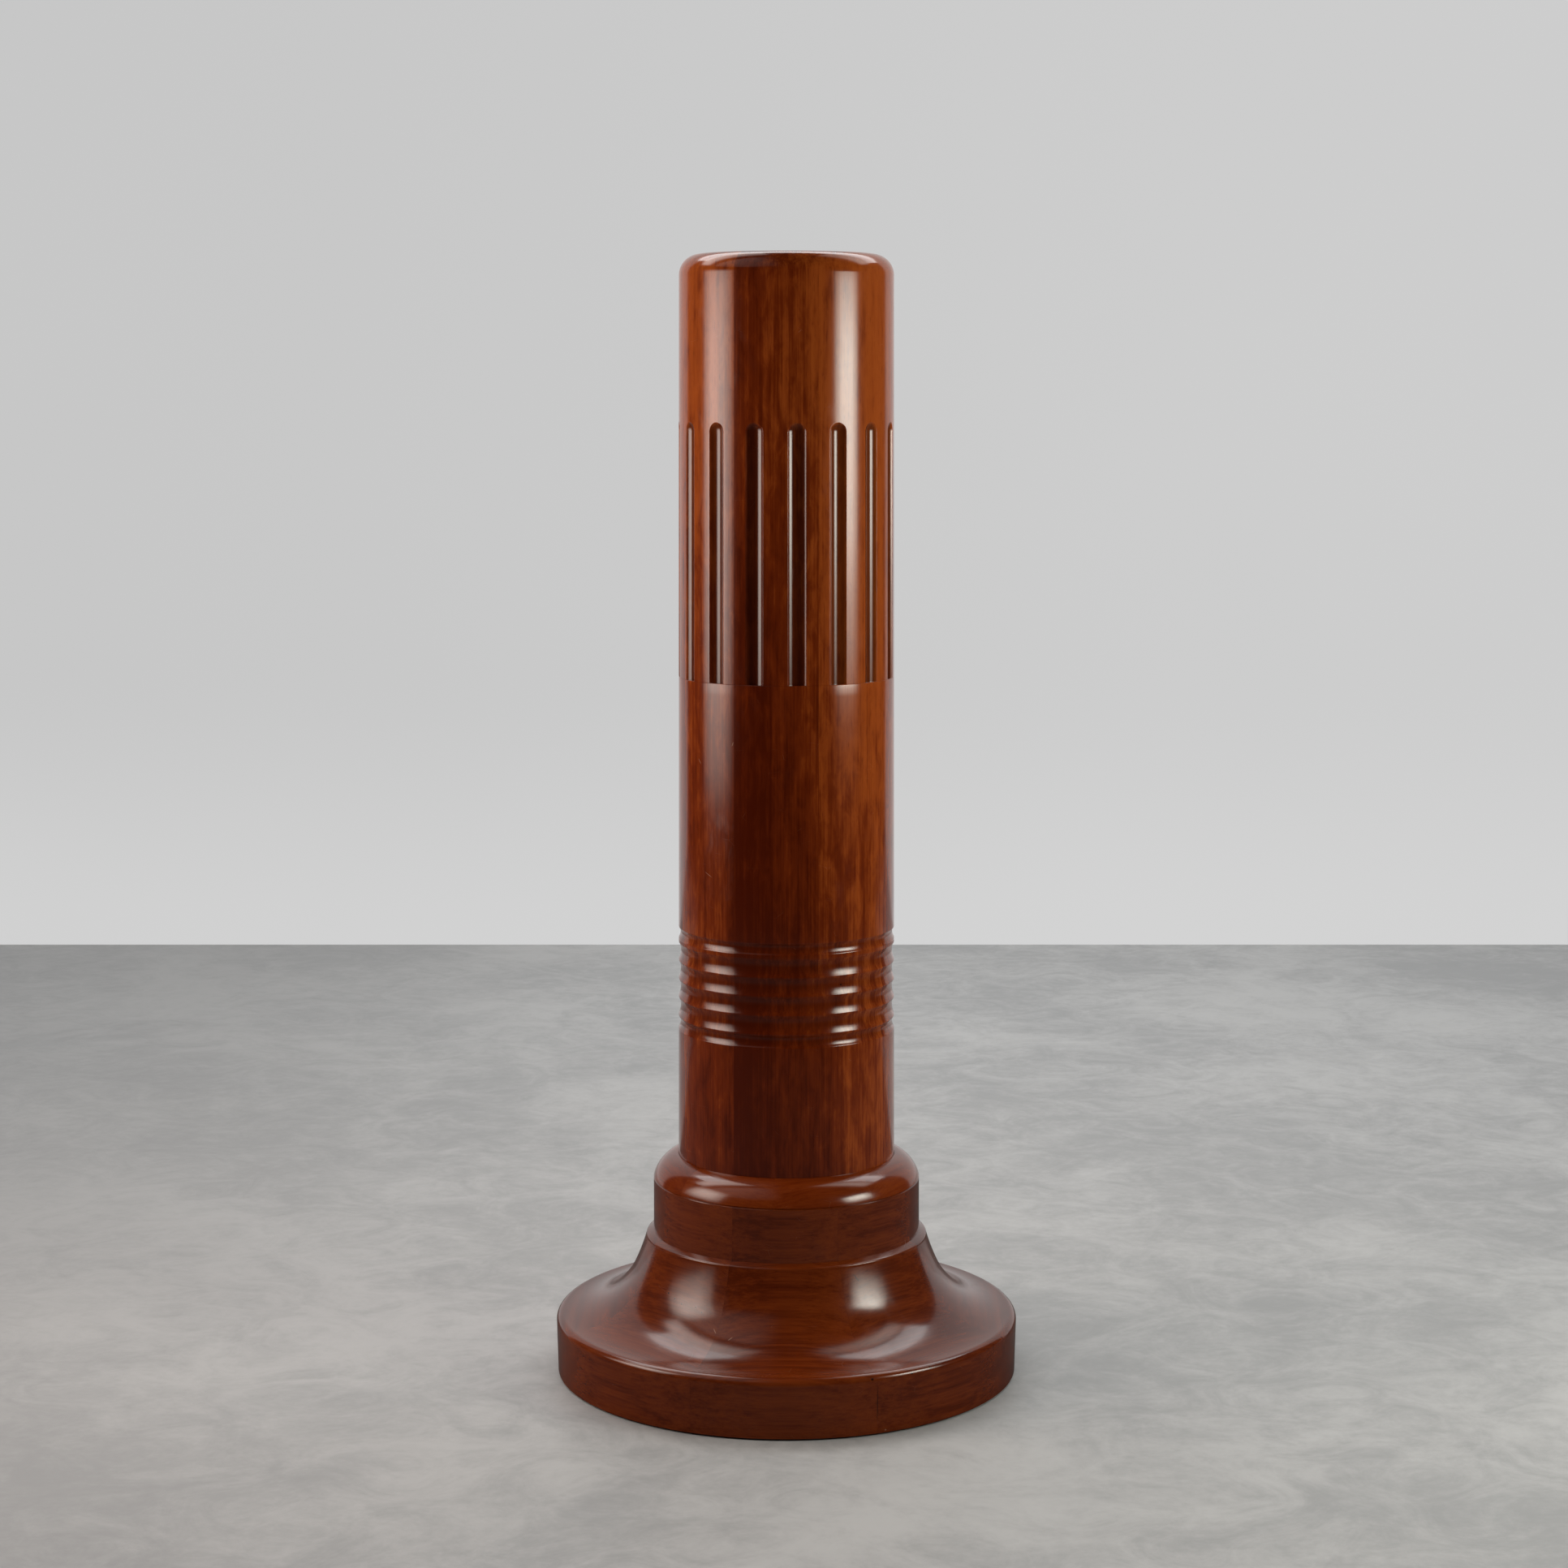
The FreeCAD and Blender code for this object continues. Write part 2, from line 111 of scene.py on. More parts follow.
def shaft_outline():
    """The turned outside of the column, from the rebate of the top board to the bottom end."""
    round_centre = (shaft_radius - top_round, shaft_top - top_round)
    outline = [(rebate_radius, shaft_top), (rebate_radius + 0.2, shaft_top)]
    outline += line_points(outline[-1], (round_centre[0], shaft_top), 1.0)
    outline += arc_points(round_centre, top_round, 90, 0, 1.0)
    outline += line_points(outline[-1], (shaft_radius, flute_top + 12.0), 12.0)
    outline += [(shaft_radius, flute_top + h) for h in (9.0, 6.5, 4.5, 3.0, 1.8, 0.9, 0.3, 0.05)]
    for turn in (87, 84, 80, 75, 69, 62, 54, 46, 38, 30, 22, 14, 7, 0):
        reach = (flute_top - flute_ball) * math.sin(math.radians(turn))
        outline.append((shaft_radius, flute_ball + reach))
    outline += line_points(outline[-1], (shaft_radius, flute_bottom + 0.04), 18.0)
    for depth, height in ((3.6, 0.03), (2.6, 0.02), (1.6, 0.01), (flute_arris, 0.0)):
        outline.append((shaft_radius - depth, flute_bottom + height))
    arris_centre = (shaft_radius - flute_arris, flute_bottom - flute_arris)
    outline += arc_points(arris_centre, flute_arris, 90, 0, 0.3)
    outline += line_points(outline[-1], (shaft_radius, cove_tops[0]), 12.0)
    for top, height, depth in zip(cove_tops, cove_heights, cove_depths):
        outline += line_points(outline[-1], (shaft_radius, top), 0.8) if outline[-1][1] > top + 0.1 else []
        outline += cove(top, height, depth)
    return outline + line_points(outline[-1], (shaft_radius, shaft_bottom), 24.0)


def flute_half_section(cutter):
    """Half of a flute's cross-section, from its middle over the rounded arris to the shaft.
    The result is a list of (radius, angle) for a cutter of this radius at this height."""
    distance = shaft_radius - flute_arris
    cosine = (distance ** 2 + flute_centre ** 2 - (cutter + flute_arris) ** 2) / (2 * distance * flute_centre)
    turn = math.acos(min(1.0, cosine))
    arris = (distance * math.cos(turn), distance * math.sin(turn))
    wall = math.atan2(arris[1], flute_centre - arris[0])
    points = []
    for step in range(15):
        t = wall * step / 14
        points.append((flute_centre - cutter * math.cos(t), cutter * math.sin(t)))
    for step in range(1, 6):
        t = -wall + (wall + turn) * step / 5
        points.append((arris[0] + flute_arris * math.cos(t), arris[1] + flute_arris * math.sin(t)))
    return [(math.hypot(x, y), math.degrees(math.atan2(y, x))) for x, y in points]


full_section = flute_half_section(flute_cutter)


def fluted_row(radius, height):
    """One row of the stave's outside: (radius, angle from the stave's first seam), both flutes."""
    if flute_bottom <= height < flute_top:
        rise = max(0.0, height - flute_ball)
        half = flute_half_section(math.sqrt(flute_cutter ** 2 - rise ** 2))
        half = [(max(r, radius) if radius < shaft_radius else r, a) for r, a in half]
    else:
        spread = min(1.0, max(0.0, height - flute_top) / 10.0) if height >= flute_top else 1.0
        scale = math.sqrt(1 - (1 - spread) ** 2)
        half = [(radius, a * scale) for r, a in full_section]
    edge = half[-1][1]
    flat = min(radius, shaft_radius) if height >= flute_top or height < flute_bottom else shaft_radius
    half += [(flat, edge + (stave_angle / 4 - edge) * i / 7) for i in range(1, 8)]
    cell = [(r, -a) for r, a in half[:0:-1]] + half
    quarter = stave_angle / 4
    return [(r, quarter + a) for r, a in cell] + [(r, 3 * quarter + a) for r, a in cell[1:]]


def wedge_mesh(name, rows, first_seam, grain_offset, first_tone, last_tone):
    """A closed wedge between two seams. Each row is a ring of the section, as a list of
    (radius, angle from the first seam, height). It keeps the plank's own axes for the grain,
    and the wood's tone, which runs evenly from the first seam to the last."""
    count = len(rows[0])
    grid = np.array(rows)
    turn = np.radians(grid[:, :, 1] + first_seam)
    points = np.stack([grid[:, :, 0] * np.sin(turn), -grid[:, :, 0] * np.cos(turn), grid[:, :, 2]], -1)
    plank_turn = np.radians(grid[:, :, 1] - stave_angle / 2)
    plank = np.stack([grid[:, :, 0] * np.sin(plank_turn), grid[:, :, 0] * np.cos(plank_turn),
                      grid[:, :, 2]], -1)
    faces = []
    total = len(rows)
    for i in range(total):
        below = (i + 1) % total
        for j in range(count - 1):
            faces.append((i * count + j, below * count + j, below * count + j + 1, i * count + j + 1))
    faces.append([i * count for i in range(total)])
    faces.append([i * count + count - 1 for i in range(total)][::-1])
    mesh = bpy.data.meshes.new(name)
    mesh.from_pydata((points.reshape(-1, 3) / 1000).tolist(), [], faces)
    grain = mesh.attributes.new("plank", "FLOAT_VECTOR", "POINT")
    grain.data.foreach_set("vector", (plank.reshape(-1, 3) / 1000 + np.array(grain_offset)).ravel())
    shade = mesh.attributes.new("tone", "FLOAT", "POINT")
    tones = first_tone + (last_tone - first_tone) * grid[:, :, 1] / stave_angle
    shade.data.foreach_set("value", tones.ravel())
    mesh.shade_smooth()
    mesh.set_sharp_from_angle(angle=math.radians(38))
    piece = bpy.data.objects.new(name, mesh)
    bpy.context.scene.collection.objects.link(piece)
    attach(piece, "root")
    return piece


column_outline = shaft_outline()
stave_rows = [[(r, a, height) for r, a in fluted_row(radius, height)] for radius, height in column_outline]
stave_columns = [a for r, a, height in stave_rows[0]]
stave_bore = [bore_flat / math.cos(math.radians(a - stave_angle / 2)) for a in stave_columns]
stave_rows.append([(r, a, shaft_bottom) for r, a in zip(stave_bore, stave_columns)])
stave_rows.append([(r, a, rebate_floor) for r, a in zip(stave_bore, stave_columns)])
stave_rows.append([(rebate_radius, a, rebate_floor) for a in stave_columns])
stave_grain = [(1.3, 0.2, 0.4), (4.1, 1.7, 2.6), (7.9, 0.9, 5.3), (2.2, 3.8, 1.1),
               (5.5, 6.1, 3.7), (9.4, 2.7, 0.9), (3.6, 5.2, 6.8), (8.3, 4.4, 2.1)]
stave_tones = [(-0.24, -0.1), (-0.07, 0.02), (0.0, -0.08), (-0.1, -0.02), (-0.04, -0.12), (-0.08, 0.0),
               (-0.02, -0.08), (-0.06, -0.09)]
staves = []
for index in range(8):
    stave = wedge_mesh("stave_%d" % (index + 1), stave_rows, shaft_seam + (index - 1) * stave_angle,
                       stave_grain[index], *stave_tones[index])
    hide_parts("column_stave_%d" % (index + 1))
    staves.append(stave)


def new_group(name, inputs, outputs):
    """An empty shader node group with these sockets, and its input and output nodes."""
    group = bpy.data.node_groups.new(name, "ShaderNodeTree")
    for label, kind, value in inputs:
        socket = group.interface.new_socket(label, in_out="INPUT", socket_type=kind)
        if value is not None:
            socket.default_value = value
    for label, kind in outputs:
        group.interface.new_socket(label, in_out="OUTPUT", socket_type=kind)
    return group, group.nodes.new("NodeGroupInput"), group.nodes.new("NodeGroupOutput")


def add(tree, kind, settings=None, **links):
    """A node with its settings; each link names an input (or its index) and what feeds it."""
    node = tree.nodes.new(kind)
    for key, value in (settings or {}).items():
        setattr(node, key, value)
    for key, source in links.items():
        by_number = key[0] == "i" and key[1:].isdigit()
        socket = node.inputs[int(key[1:])] if by_number else node.inputs[key.replace("_", " ")]
        if isinstance(source, bpy.types.NodeSocket):
            tree.links.new(source, socket)
        else:
            socket.default_value = source
    return node


def maths(tree, operation, first, second=0.0, third=0.0, clamp=False):
    settings = {"operation": operation, "use_clamp": clamp}
    return add(tree, "ShaderNodeMath", settings, i0=first, i1=second, i2=third).outputs[0]


def between(tree, value, low, high):
    """0 below low, 1 above high, and a soft step between them."""
    settings = {"interpolation_type": "SMOOTHSTEP"}
    return add(tree, "ShaderNodeMapRange", settings, Value=value, From_Min=low, From_Max=high).outputs[0]


def mix_colours(tree, factor, first, second, blend="MIX"):
    node = tree.nodes.new("ShaderNodeMix")
    node.data_type, node.blend_type = "RGBA", blend
    for socket, source in ((node.inputs[0], factor), (node.inputs[6], first), (node.inputs[7], second)):
        if isinstance(source, bpy.types.NodeSocket):
            tree.links.new(source, socket)
        else:
            socket.default_value = source
    return node.outputs[2]


def stretched(tree, vector, across, along):
    """The plank's own position, scaled across the grain and along it."""
    settings = {"vector_type": "VECTOR"}
    return add(tree, "ShaderNodeMapping", settings, Vector=vector, Scale=(across, across, along)).outputs[0]


def noise(tree, vector, scale, detail=2.0, roughness=0.5, distortion=0.0):
    return add(tree, "ShaderNodeTexNoise", None, Vector=vector, Scale=scale, Detail=detail,
               Roughness=roughness, Distortion=distortion).outputs[0]


# Mahogany as the plank shows it: wide tone bands and fine streaks along the grain, short
# dashes of ribbon figure, and the open pores, which stay darker.
mahogany, given, result = new_group(
    "mahogany_figure",
    [("Plank", "NodeSocketVector", None), ("Dark", "NodeSocketColor", (0.1, 0.01, 0.001, 1)),
     ("Middle", "NodeSocketColor", (0.2, 0.03, 0.003, 1)), ("Light", "NodeSocketColor", (0.3, 0.06, 0.01, 1)),
     ("Figure", "NodeSocketFloat", 0.5), ("Tone", "NodeSocketFloat", 0.0)],
    [("Color", "NodeSocketColor"), ("Pores", "NodeSocketFloat"), ("Ripple", "NodeSocketFloat")])
plank = given.outputs["Plank"]
bands = noise(mahogany, stretched(mahogany, plank, 1.0, 0.05), 26.0, 3.0, 0.55, 0.6)
streaks = noise(mahogany, stretched(mahogany, plank, 1.0, 0.022), 150.0, 4.0, 0.6, 0.3)
threads = noise(mahogany, stretched(mahogany, plank, 1.0, 0.018), 480.0, 4.0, 0.7)
dashes = noise(mahogany, stretched(mahogany, plank, 1.0, 0.28), 95.0, 3.0, 0.6, 0.5)
pores = noise(mahogany, stretched(mahogany, plank, 1.0, 0.06), 1300.0, 2.0, 0.5)
patches = noise(mahogany, stretched(mahogany, plank, 1.0, 0.35), 9.0, 2.0, 0.5, 0.4)
tone = maths(mahogany, "MULTIPLY", bands, 0.2)
tone = maths(mahogany, "MULTIPLY_ADD", streaks, 0.28, maths(mahogany, "ADD", tone, 0.05))
tone = maths(mahogany, "MULTIPLY_ADD", threads, 0.28, tone)
tone = maths(mahogany, "MULTIPLY_ADD", patches, 0.19, tone)
dash_share = maths(mahogany, "MULTIPLY", maths(mahogany, "SUBTRACT", dashes, 0.5), given.outputs["Figure"])
tone = maths(mahogany, "MULTIPLY_ADD", dash_share, 0.6, tone)
tone = maths(mahogany, "ADD", tone, given.outputs["Tone"])
tone = between(mahogany, tone, 0.28, 0.72)
dark_part = maths(mahogany, "MULTIPLY", tone, 2.0, clamp=True)
light_part = maths(mahogany, "MULTIPLY_ADD", tone, 2.0, -1.0, clamp=True)
dark_wood = mix_colours(mahogany, dark_part, given.outputs["Dark"], given.outputs["Middle"])
whole_wood = mix_colours(mahogany, light_part, dark_wood, given.outputs["Light"])
open_pores = between(mahogany, pores, 0.60, 0.72)
pore_shade = maths(mahogany, "MULTIPLY", open_pores, 0.45)
mahogany.links.new(mix_colours(mahogany, pore_shade, whole_wood, given.outputs["Dark"]),
                   result.inputs["Color"])
mahogany.links.new(open_pores, result.inputs["Pores"])
mahogany.links.new(streaks, result.inputs["Ripple"])

# The wear of a polished stand: broad uneven sheen and hairline scratches, and a mask of the turned
# corners, which darkens them: partly built-up polish, partly painted shade in the creases.
wear, given, result = new_group(
    "polish_wear",
    [("Position", "NodeSocketVector", None), ("Clean", "NodeSocketFloat", 0.17),
     ("Worn", "NodeSocketFloat", 0.3)],
    [("Roughness", "NodeSocketFloat"), ("Scratches", "NodeSocketFloat"), ("Grime_and_shade", "NodeSocketFloat")])
place = given.outputs["Position"]
sheen = noise(wear, place, 14.0, 3.0, 0.6)
smears = noise(wear, stretched(wear, place, 1.0, 0.4), 70.0, 3.0, 0.65, 1.0)
dull = maths(wear, "MULTIPLY", between(wear, sheen, 0.42, 0.7), between(wear, smears, 0.45, 0.75))
scratch_lines = add(wear, "ShaderNodeTexVoronoi", {"feature": "DISTANCE_TO_EDGE"},
                    Vector=stretched(wear, place, 1.0, 3.0), Scale=26.0, Randomness=1.0).outputs["Distance"]
thin = maths(wear, "SUBTRACT", 1.0, between(wear, scratch_lines, 0.0006, 0.0035))
scratch_places = between(wear, noise(wear, place, 38.0, 2.0), 0.60, 0.70)
scratches = maths(wear, "MULTIPLY", thin, scratch_places)
spread = maths(wear, "SUBTRACT", given.outputs["Worn"], given.outputs["Clean"])
rough = maths(wear, "MULTIPLY_ADD", dull, spread, given.outputs["Clean"])
wear.links.new(maths(wear, "MULTIPLY_ADD", scratches, 0.25, rough), result.inputs["Roughness"])
wear.links.new(scratches, result.inputs["Scratches"])
# Low pointiness finds the corners and creases; they get built-up polish and painted shade.
pointiness = wear.nodes.new("ShaderNodeNewGeometry").outputs["Pointiness"]
wear.links.new(maths(wear, "SUBTRACT", 1.0, between(wear, pointiness, 0.36, 0.47)), result.inputs["Grime_and_shade"])


def polished_wood(name, dark, middle, light, figure, grain_turn, painted_top_light, clean, polish):
    """French-polished mahogany in these tones, read from the plank's own axes. The grain runs
    upright, or level round the stand with a turn of 90 degrees. Painted light makes the wood
    lighter towards the top, where more light falls."""
    material = bpy.data.materials.new(name)
    material.use_nodes = True
    tree = material.node_tree
    shader = tree.nodes["Principled BSDF"]
    plank_axes = add(tree, "ShaderNodeAttribute", {"attribute_name": "plank"}).outputs["Vector"]
    drawn = add(tree, "ShaderNodeMapping", {"vector_type": "VECTOR"}, Vector=plank_axes,
                Rotation=(0.0, math.radians(grain_turn), 0.0)).outputs[0]
    piece_tone = add(tree, "ShaderNodeAttribute", {"attribute_name": "tone"}).outputs["Fac"]
    place = tree.nodes.new("ShaderNodeTexCoord").outputs["Object"]
    height = add(tree, "ShaderNodeSeparateXYZ", None, Vector=place).outputs["Z"]
    # Painted light: the tone rises towards the top, where more light falls.
    piece_tone = maths(tree, "MULTIPLY_ADD", between(tree, height, 0.3, 1.2), painted_top_light, piece_tone)
    wood = add(tree, "ShaderNodeGroup", {"node_tree": mahogany}, Plank=drawn, Dark=(*dark, 1),
               Middle=(*middle, 1), Light=(*light, 1), Figure=figure, Tone=piece_tone)
    marks = add(tree, "ShaderNodeGroup", {"node_tree": wear}, Position=plank_axes, Clean=clean,
                Worn=clean + 0.12)
    # The corners are darkened: partly built-up polish, partly painted shade in the creases.
    grimy_and_shaded = mix_colours(tree, maths(tree, "MULTIPLY", marks.outputs["Grime_and_shade"], 0.75), wood.outputs["Color"],
                        (0.012, 0.004, 0.002, 1))
    pale = mix_colours(tree, maths(tree, "MULTIPLY", marks.outputs["Scratches"], 0.08), grimy_and_shaded,
                       (0.5, 0.3, 0.2, 1))
    tree.links.new(pale, shader.inputs["Base Color"])
    tree.links.new(marks.outputs["Roughness"], shader.inputs["Roughness"])
    relief = maths(tree, "MULTIPLY_ADD", wood.outputs["Pores"], -0.25, wood.outputs["Ripple"])
    relief = maths(tree, "MULTIPLY_ADD", marks.outputs["Scratches"], -0.5, relief)
    bump = add(tree, "ShaderNodeBump", None, Strength=0.03, Distance=0.0003, Height=relief)
    tree.links.new(bump.outputs["Normal"], shader.inputs["Normal"])
    shader.inputs["IOR"].default_value = 1.45
    shader.inputs["Coat Weight"].default_value = polish
    shader.inputs["Coat Roughness"].default_value = 0.05
    return material


def on_face(outline, angle, height, size, tilt=0.0):
    """A mark at this angle and height on a turned piece, at the radius that its outside has there."""
    radii = [near + (far - near) * (above - height) / (above - below)
             for (near, above), (far, below) in zip(outline[:-1], outline[1:])
             if above > below and below <= height <= above]
    return angle, max(radii), height, size, tilt


def mark_wood(material, spots, colour, strength):
    """Scratches, dents and cracks at set places on the turned face. Each spot has the angle,
    radius and height of its middle, its size along, through and up the face in millimetres,
    and its tilt in degrees."""
    tree = material.node_tree
    shader = tree.nodes["Principled BSDF"]
    place = tree.nodes.new("ShaderNodeTexCoord").outputs["Object"]
    mask = 0.0
    for angle, radius, height, size, tilt in spots:
        turn = math.radians(angle)
        local = add(tree, "ShaderNodeMapping", {"vector_type": "TEXTURE"}, Vector=place,
                    Location=(radius * math.sin(turn) / 1000, -radius * math.cos(turn) / 1000, height / 1000),
                    Rotation=(0.0, math.radians(tilt), turn),
                    Scale=tuple(part / 2000 for part in size)).outputs[0]
        reach = add(tree, "ShaderNodeVectorMath", {"operation": "LENGTH"}, i0=local).outputs["Value"]
        mask = maths(tree, "MAXIMUM", mask, maths(tree, "SUBTRACT", 1.0, between(tree, reach, 0.5, 1.0)))
    plain = shader.inputs["Base Color"].links[0].from_socket
    marked = mix_colours(tree, maths(tree, "MULTIPLY", mask, strength), plain, colour)
    tree.links.new(marked, shader.inputs["Base Color"])


# The column's wood is painted lighter towards the top: painted light.
column_wood = polished_wood("column_mahogany", (0.075, 0.008, 0.0008), (0.17, 0.0235, 0.0026),
                            (0.36, 0.073, 0.0100), 0.6, 0.0, 0.17, 0.14, 0.12)
scratch_colour = (0.42, 0.22, 0.14, 1)
dent_shade_and_gap_colour = (0.006, 0.002, 0.001, 1)

# Painted shade: the flutes are darkened, and the coves less so, as shade in these hollows.
hollow_shade_colour = (0.025, 0.004, 0.001, 1)
flute_shade = 0.6
cove_shade = 0.25
column_tree = column_wood.node_tree
column_shader = column_tree.nodes["Principled BSDF"]
column_place = column_tree.nodes.new("ShaderNodeTexCoord").outputs["Object"]
axes = add(column_tree, "ShaderNodeSeparateXYZ", None, Vector=column_place).outputs
squares = [maths(column_tree, "MULTIPLY", axes[letter], axes[letter]) for letter in "XY"]
from_axis = maths(column_tree, "SQRT", maths(column_tree, "ADD", *squares))
surface = between(column_tree, from_axis, (shaft_radius - 2.6) / 1000, (shaft_radius - 0.2) / 1000)
below_round = maths(column_tree, "LESS_THAN", axes["Z"], (shaft_top - top_round - 4.0) / 1000)
hollow = maths(column_tree, "MULTIPLY", maths(column_tree, "SUBTRACT", 1.0, surface), below_round)
in_flutes = maths(column_tree, "GREATER_THAN", axes["Z"], 0.7)
hollow_shade = maths(column_tree, "MULTIPLY_ADD", in_flutes, flute_shade - cove_shade, cove_shade)
plain_colour = column_shader.inputs["Base Color"].links[0].from_socket
# Painted shade laid into the flutes and coves.
hollow_shaded = mix_colours(column_tree, maths(column_tree, "MULTIPLY", hollow, hollow_shade), plain_colour, hollow_shade_colour)
column_tree.links.new(hollow_shaded, column_shader.inputs["Base Color"])

# Three scratches on the plain shaft and a dent in the second cove, about where the photograph
# shows them.
column_scratches = [
    on_face(column_outline, -29.0, 694.5, (1.2, 6.0, 6.0), 20.0),
    on_face(column_outline, -52.0, 672.5, (9.0, 6.0, 1.0), 50.0),
    on_face(column_outline, -45.0, 552.0, (14.0, 6.0, 0.8), 25.0),
]
# The dent is only a dark spot, with no hollow in the surface: painted shade.
column_dent_shade = [on_face(column_outline, 30.0, 437.0, (3.2, 8.0, 2.6))]
mark_wood(column_wood, column_scratches, scratch_colour, 0.6)
mark_wood(column_wood, column_dent_shade, dent_shade_and_gap_colour, 0.8)
for stave in staves:
    stave.data.materials.append(column_wood)

# ---------------------------------------------------------------- Collar segments
# An ovolo moulding in eight pieces, glued round the joint of column and foot. A fine V line
# is left where it meets the foot.
collar_inside = 118.8
collar_bottom = 208.5
collar_top = 234.5
neck_radius = 145.8
quirk = 1.0
collar_seam = 39.25


def bulged_points(start, end, bulge, step):
    """An arc that stands out from its chord by the bulge, away from the axis and upwards."""
    chord = math.dist(start, end)
    radius = (chord ** 2 / 4 + bulge ** 2) / (2 * bulge)
    across = ((start[1] - end[1]) / chord, (end[0] - start[0]) / chord)
    middle = ((start[0] + end[0]) / 2, (start[1] + end[1]) / 2)
    centre = (middle[0] - across[0] * (radius - bulge), middle[1] - across[1] * (radius - bulge))
    first = math.degrees(math.atan2(start[1] - centre[1], start[0] - centre[0]))
    last = math.degrees(math.atan2(end[1] - centre[1], end[0] - centre[0]))
    return arc_points(centre, radius, first, last, step)


def wedge_rows(section, columns):
    return [[(radius, angle, height) for angle in columns] for radius, height in section]


collar_section = [(collar_inside, collar_top)]
collar_section += bulged_points((collar_inside, collar_top), (neck_radius, collar_bottom + quirk), 5.6, 0.8)
collar_section += [(neck_radius - quirk, collar_bottom), (collar_inside, collar_bottom)]
even_columns = [stave_angle * i / 48 for i in range(49)]
collars = []
for index in range(8):
    collar = wedge_mesh("collar_%d" % (index + 1), wedge_rows(collar_section, even_columns),
                        collar_seam + (index - 1) * stave_angle,
                        (2.9 + 1.7 * index, 0.6 * index, 3.1 + index),
                        0.02 * math.sin(2.3 * index), 0.02 * math.sin(2.3 * index + 1.5))
    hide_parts("collar_segment_%d" % (index + 1))
    collars.append(collar)
collar_wood = polished_wood("collar_mahogany", (0.075, 0.009, 0.0010), (0.15, 0.022, 0.0026),
                            (0.22, 0.040, 0.0060), 0.1, 90.0, 0.0, 0.15, 0.12)
for collar in collars:
    collar.data.materials.append(collar_wood)

# ---------------------------------------------------------------- Foot blocks
# Eight blocks glued into a ring and turned: a straight neck, a small ledge with a rounded
# arris, a bell in two hollow sweeps, and a rim that tapers a little towards the floor.
foot_seam = 21.8
foot_floor = 2.0
ledge_top = 151.5
ledge_width = 7.9
ledge_tilt = 24.0
ledge_round = 2.5
bell_tilt = 16.3
waist_tilt = 25.2
waist_height = 112.8
rim_radius = 252.1
rim_taper = 1.85
rim_round = 7.8
bottom_board_radius = 200.0
bottom_board_top = 34.0
hollow_radius = 150.0
hollow_top = 100.0
socket_opening = 95.0
tangent = (ledge_round * math.sin(math.radians(ledge_tilt)), ledge_round * math.cos(math.radians(ledge_tilt)))
ledge_run = ledge_width - ledge_round + tangent[0]
ledge_end = (neck_radius + ledge_run, ledge_top - ledge_run * math.tan(math.radians(ledge_tilt)))
arris_centre = (ledge_end[0] - tangent[0], ledge_end[1] - tangent[1])
bell_start = (arris_centre[0] + ledge_round, arris_centre[1])
tilt_rise = math.sin(math.radians(waist_tilt)) - math.sin(math.radians(bell_tilt))
upper_sweep = (bell_start[1] - waist_height) / tilt_rise
upper_centre = (bell_start[0] + upper_sweep * math.cos(math.radians(bell_tilt)),
                bell_start[1] + upper_sweep * math.sin(math.radians(bell_tilt)))
waist = (upper_centre[0] - upper_sweep * math.cos(math.radians(waist_tilt)), waist_height)
lower_sweep = (rim_radius - rim_round - waist[0]) / math.cos(math.radians(waist_tilt))
lower_centre = (rim_radius - rim_round, waist_height + lower_sweep * math.sin(math.radians(waist_tilt)))
rim_top = lower_centre[1] - lower_sweep
foot_section = [(neck_radius, collar_bottom - quirk)]
foot_section += line_points(foot_section[-1], (neck_radius, ledge_top + 0.3), 12.0)
foot_section += line_points(foot_section[-1], (neck_radius, ledge_top), 1.0)
foot_section += line_points(foot_section[-1], ledge_end, 1.5)
foot_section += arc_points(arris_centre, ledge_round, 90 - ledge_tilt, 0, 0.4)
foot_section += arc_points(upper_centre, upper_sweep, 180 + bell_tilt, 180 + waist_tilt, 1.6)
foot_section += arc_points(lower_centre, lower_sweep, 180 + waist_tilt, 270, 1.6)
foot_section += arc_points((rim_radius - rim_round, rim_top - rim_round), rim_round, 90, 0, 0.7)
foot_section += line_points(foot_section[-1], (rim_radius - rim_taper, foot_floor), 8.0)
foot_section += [(bottom_board_radius, foot_floor), (bottom_board_radius, bottom_board_top),
                 (hollow_radius, bottom_board_top), (hollow_radius, hollow_top),
                 (socket_opening, hollow_top), (socket_opening, shaft_bottom),
                 (collar_inside, shaft_bottom), (collar_inside, collar_bottom),
                 (neck_radius - quirk, collar_bottom)]
blocks = []
for index in range(8):
    block = wedge_mesh("block_%d" % (index + 1), wedge_rows(foot_section, even_columns),
                       foot_seam + (index - 1) * stave_angle,
                       (0.8 + 2.3 * index, 1.9 * index, 0.7 + 1.3 * index),
                       0.06 * math.sin(1.9 * index), 0.06 * math.sin(1.9 * index + 1.2))
    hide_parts("foot_block_%d" % (index + 1))
    blocks.append(block)
foot_wood = polished_wood("foot_mahogany", (0.055, 0.0078, 0.0012), (0.095, 0.0138, 0.0021),
                          (0.19, 0.034, 0.0052), 0.12, 90.0, 0.0, 0.16, 0.1)

